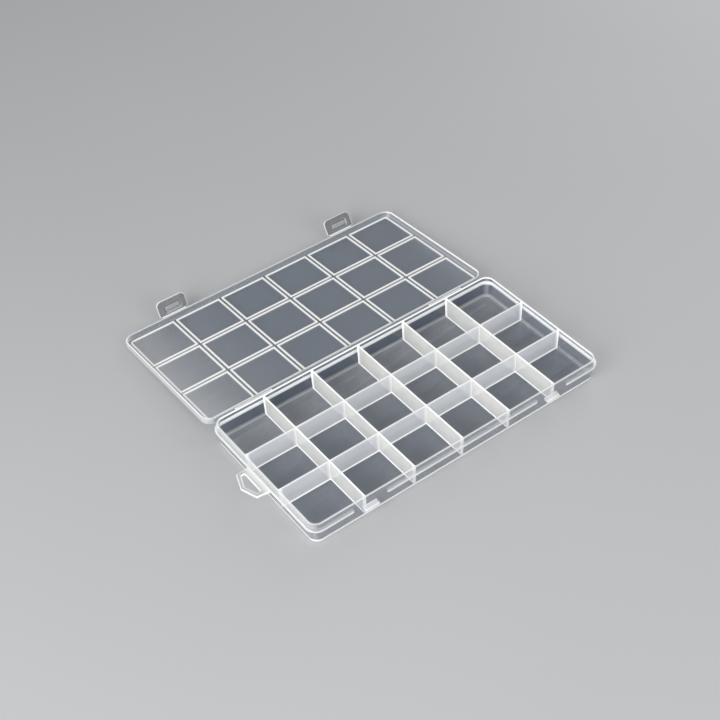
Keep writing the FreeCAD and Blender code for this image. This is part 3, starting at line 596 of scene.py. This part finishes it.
def frames():
    """A frame is a low rib round one compartment: its section, with a foot that flares and a rounded
    top, is carried round a rectangle, with a large round where it lies in a corner of the lid."""
    section = profile(
        ([(-0.16, HAIR)], 0.2),
        ([(-0.05, 0.1), (0.0, 0.3)], 0.3),
        (arc((0.3, 0.7), 0.3, 180, 90, 5), 0.85),
        (arc((0.9, 0.7), 0.3, 90, 0, 5), 0.85),
        ([(1.2, 0.3), (1.25, 0.1)], 0.3),
        ([(1.36, HAIR)], 0.2),
    )
    wall_gap, divider_gap = 0.9, DIVIDER / 2 + 0.4
    corner_radius, lid_corner_radius = 0.35, 2.6
    lid_corners = {(5, "front"): 0, (0, "front"): 1, (0, "rear"): 2, (5, "rear"): 3}
    west = [-INNER_X + wall_gap] + [x + divider_gap for x in DIVIDER_X]
    east = [x - divider_gap for x in DIVIDER_X] + [INNER_X - wall_gap]
    rows = {
        "rear": (-INNER_Y + wall_gap, -DIVIDER_Y - divider_gap),
        "middle": (-DIVIDER_Y + divider_gap, DIVIDER_Y - divider_gap),
        "front": (DIVIDER_Y + divider_gap, INNER_Y - wall_gap),
    }
    for row, (near_y, far_y) in rows.items():
        for column in range(6):
            half = np.array([east[column] - west[column], far_y - near_y]) / 2
            middle = np.array([east[column] + west[column], far_y + near_y]) / 2 + (0, LID_MIDDLE)
            radii = np.full(4, corner_radius)
            if (column, row) in lid_corners:
                radii[lid_corners[column, row]] = lid_corner_radius
            corners = rectangle(half[0], half[1], middle)
            ring = outline(corners, radii, section[:, 0], [even(7)] * 4, steps=6)
            grid = on_lid(stack(ring[..., 0], ring[..., 1], LID_FACE + section[:, 1:2]))
            node = "lid_frame_%s_%d" % (row, column + 1)
            piece(node, "lid", [(grid, section[:, None, 2:], True)], LID_FINISH)


def stand(points, joint):
    """Points of a latch as it would lie in the lid's plane, x across, y from its axis and z off its
    inner face, turned up about that axis to where the latch rests."""
    axis = np.array(JOINTS[joint]["pos_m"]) * 1000
    angle = -math.radians(JOINTS[joint]["range_deg"][0]) - DIP
    x, y, z = np.moveaxis(points, -1, 0)
    rear = axis[1] + y * math.cos(angle) - z * math.sin(angle)
    return np.stack([axis[0] + x, rear, axis[2] + y * math.sin(angle) + z * math.cos(angle)], -1)


def latches():
    """A latch is a plate with a slot: rings run from the rounded outer edge over the inner face, down
    the bevel, through the slot, and back over the outer face, whose height falls by a smooth step into
    the finger lip near the free end."""
    half, root, tip, thick = 11.2, 0.6, 12.1, 1.1
    lip_start, lip_full, lip_proud = 9.5, 10.54, 0.7
    plate = [(half, tip), (-half, tip), (-half, root), (half, root)]
    slot = [(5.5, 6.9), (-5.5, 6.9), (-5.5, 3.8), (5.5, 3.8)]
    radii = [3.6, 3.6, 1.0, 1.0]
    shares = [even(22)] * 4
    soft = 0.3
    turn = np.radians(np.linspace(0, 90, 5))
    edge_in, edge_up = soft * (1 - np.cos(turn)), thick / 2 - soft + soft * np.sin(turn)
    face = outline(plate, radii, np.concatenate([edge_in, [0.6, 1.0]]), shares)
    face_up = np.concatenate([edge_up, [thick / 2] * 2])
    face_depth = np.array([0.5, 0.5, 0.5, 0.4, 0.15, 0.0, 0.0])
    bevel = outline(slot, [0.4] * 4, (-2.1, -1.85, -1.7, -0.9, -0.1, 0.0, 0.0, -0.12), shares)
    bevel_up = np.array([0.55, 0.55, 0.51, 0.3, 0.08, 0.0, -0.43, -0.55])
    bevel_depth = np.array([0.0, 0.03, 0.03, 0.0, 0.0, 0.06, 0.06, 0.0])
    back = np.linspace(0, 1, 20)[1:-1, None, None]
    back_rings = bevel[-1] + back * (face[4] - bevel[-1])
    under = outline(plate, radii, edge_in[::-1], shares)
    rings = np.concatenate([face, bevel, back_rings, under])
    lip = lip_proud * (1 - near(np.clip(rings[..., 1] - lip_start, 0, None), lip_full - lip_start))
    height = np.concatenate([face_up, bevel_up, np.full(len(back_rings), -thick / 2), -edge_up[::-1]])
    outer_face = np.arange(len(rings))[:, None] >= len(face) + len(bevel)
    drop = np.where(outer_face, lip, 0.0)
    depth = np.concatenate([face_depth, bevel_depth, np.zeros(len(back_rings)), face_depth[4::-1]])
    depth = np.maximum(depth[:, None], 0.06 * drop / lip_proud)
    grid = np.concatenate([rings, (height[:, None] - drop)[..., None]], -1)
    for side in ("left", "right"):
        placed = stand(grid, "latch_%s_fold" % side)
        piece("latch_" + side, "latch_" + side, [(placed, depth, True)], LATCH_FINISH)


def strip(width, thick, bend, turn, length):
    """A film: a flat loop, thicker by a flare at each end, carried along a bend. The bend is given as
    places along and up, and the loop stands square to the bend's direction."""
    ends = np.minimum(length, length[-1] - length)
    edge = np.array([0.3, 0.6, 0.9, 1.2]) / width
    share = np.concatenate([edge, np.linspace(edge[-1], 1 - edge[-1], 14)[1:-1], 1 - edge[::-1]])
    corners, shares = rectangle(width / 2, thick / 2), (share, [], share, [])
    loop = outline(corners, [thick * 0.4] * 4, 0.0, shares, steps=4)[0]
    swell = 1 + 0.9 * flare(ends, 0.45)[:, None] / thick
    off = loop[None, :, 1] * swell
    y = bend[:, :1] - off * np.sin(turn)[:, None]
    z = bend[:, 1:] + off * np.cos(turn)[:, None]
    fold = 0.8 * near(np.abs(length - length[-1] / 2), 0.5)
    lines = np.maximum(0.85 * near(ends, 0.6), fold)
    depth = np.maximum(lines[:, None], near(width / 2 - np.abs(loop[None, :, 0]) - 0.4, 0.8))
    return stack(loop[None, :, 0], y, z), np.broadcast_to(depth, y.shape)


def hinges():
    """A lid hinge is a film under its axis: its points turn about the axis by a smooth share of the
    lid's dip, from none at the bead to all at the skirt."""
    reach, under, thick = 1.97 - HAIR, 1.25, 0.5
    share = np.concatenate([[0, 0.02, 0.05, 0.09], np.linspace(0.14, 0.86, 13), [0.91, 0.95, 0.98, 1]])
    step = share * share * (3 - 2 * share)
    along = -reach + 2 * reach * share
    turn = -DIP * step
    bend = np.column_stack([
        HINGE_Y + along * np.cos(turn) + under * np.sin(turn),
        HINGE_Z + along * np.sin(turn) - under * np.cos(turn),
    ])
    for side in ("left", "right"):
        low, high = size_of("lid_hinge_" + side)
        middle = (low[0] + high[0]) / 2
        grid, depth = strip(high[0] - low[0], thick, bend, turn, 2 * reach * share)
        grid = grid + (middle, 0, 0)
        made = piece("lid_hinge_" + side, None, [(grid, depth, False)], FILM_FINISH)
        start, end = (middle, *bend[0]), (middle, *bend[-1])
        np.array(start) / 1000
        np.array(end) / 1000
        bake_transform(made)


def webs():
    """A latch web is a film bent in an arc, from the lid's plane up to the latch's."""
    reach, thick = 0.6 - HAIR / 2, 0.4
    share = np.linspace(0, 1, 17)
    for side in ("left", "right"):
        joint = JOINTS["latch_%s_fold" % side]
        axis = np.array(joint["pos_m"]) * 1000
        rest = -math.radians(joint["range_deg"][0])
        radius = reach / math.tan(rest / 2)
        turn = share * rest
        y = -reach + radius * np.sin(turn)
        z = radius * (1 - np.cos(turn))
        bend = np.column_stack([
            axis[1] + y * math.cos(DIP) + z * math.sin(DIP),
            axis[2] - y * math.sin(DIP) + z * math.cos(DIP),
        ])
        low, high = size_of("latch_web_" + side)
        grid, depth = strip(high[0] - low[0], thick, bend, turn - DIP, radius * turn)
        grid = grid + (axis[0], 0, 0)
        made = piece("latch_web_" + side, None, [(grid, depth, False)], FILM_FINISH)
        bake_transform(made)


def table():
    """The floor: a wide pale sheet just under the box, with the faintest mottle."""
    material = bpy.data.materials.new("pale_floor")
    material.use_nodes = True
    material.node_tree.nodes.clear()
    start = Tone(material.node_tree)
    place = start.node("ShaderNodeTexCoord", out="Object")
    mottle = place.noise((0.3, 0.3, 0.3), detail=2.0)
    colour = mottle.mix((0.385, 0.39, 0.40, 1.0), (0.41, 0.415, 0.425, 1.0))
    shader = start.node("ShaderNodeBsdfPrincipled", {}, {"Base Color": colour, "Roughness": 0.65})
    start.node("ShaderNodeOutputMaterial", {}, {"Surface": shader})
    mesh = bpy.data.meshes.new("floor")
    reach, drop = 6, 0.0002
    corners = rectangle(reach, reach)
    mesh.from_pydata(np.column_stack([corners, np.full(4, -drop)]), [], [(0, 1, 2, 3)])
    mesh.materials.append(material)
    made = bpy.data.objects.new("floor", mesh)
    bpy.context.scene.collection.objects.link(made)


def lamp(name, place, size, watts):
    """A square area light that looks at the middle of the open organizer."""
    light = bpy.data.lights.new(name, "AREA")
    light.size = size
    light.energy = watts
    made = bpy.data.objects.new(name, light)
    made.location = place
    aim = Vector((0.0, 0.06, 0.0)) - Vector(place)
    made.rotation_euler = aim.to_track_quat("-Z", "Y").to_euler()
    bpy.context.scene.collection.objects.link(made)


def studio():
    """Soft light from the left, from the front and from the right rear, a white surround, and the
    camera."""
    scene = bpy.context.scene
    scene.view_settings.view_transform = "Standard"
    scene.cycles.max_bounces = 12
    scene.cycles.transparent_max_bounces = 64
    world = bpy.data.worlds.new("surround")
    world.use_nodes = True
    world.node_tree.nodes["Background"].inputs["Color"].default_value = (1, 1, 1, 1)
    world.node_tree.nodes["Background"].inputs["Strength"].default_value = 0.45
    scene.world = world
    lamp("key", (-1.2, -0.35, 0.7), 0.9, 21)
    lamp("front", (0.1, -1.3, 0.6), 0.9, 10)
    lamp("rim", (1.3, 0.6, 0.6), 0.9, 8)
    ahead = (CAMERA_TARGET - CAMERA_EYE).normalized()
    level = ahead.cross(Vector((0, 0, 1))).normalized()
    right = level * math.cos(CAMERA_ROLL) + level.cross(ahead) * math.sin(CAMERA_ROLL)
    up = right.cross(ahead)
    turned = Matrix((right, up, -ahead)).transposed().to_4x4()
    camera = bpy.data.cameras.new("camera")
    camera.lens = CAMERA_LENS
    camera.sensor_width = 36.0
    camera.clip_start = 0.01
    made = bpy.data.objects.new("camera", camera)
    made.matrix_world = Matrix.Translation(CAMERA_EYE) @ turned
    scene.collection.objects.link(made)
    scene.camera = made


tray()
dividers()
catches()
hanging_tab()
lid()
frames()
latches()
hinges()
webs()
table()
studio()
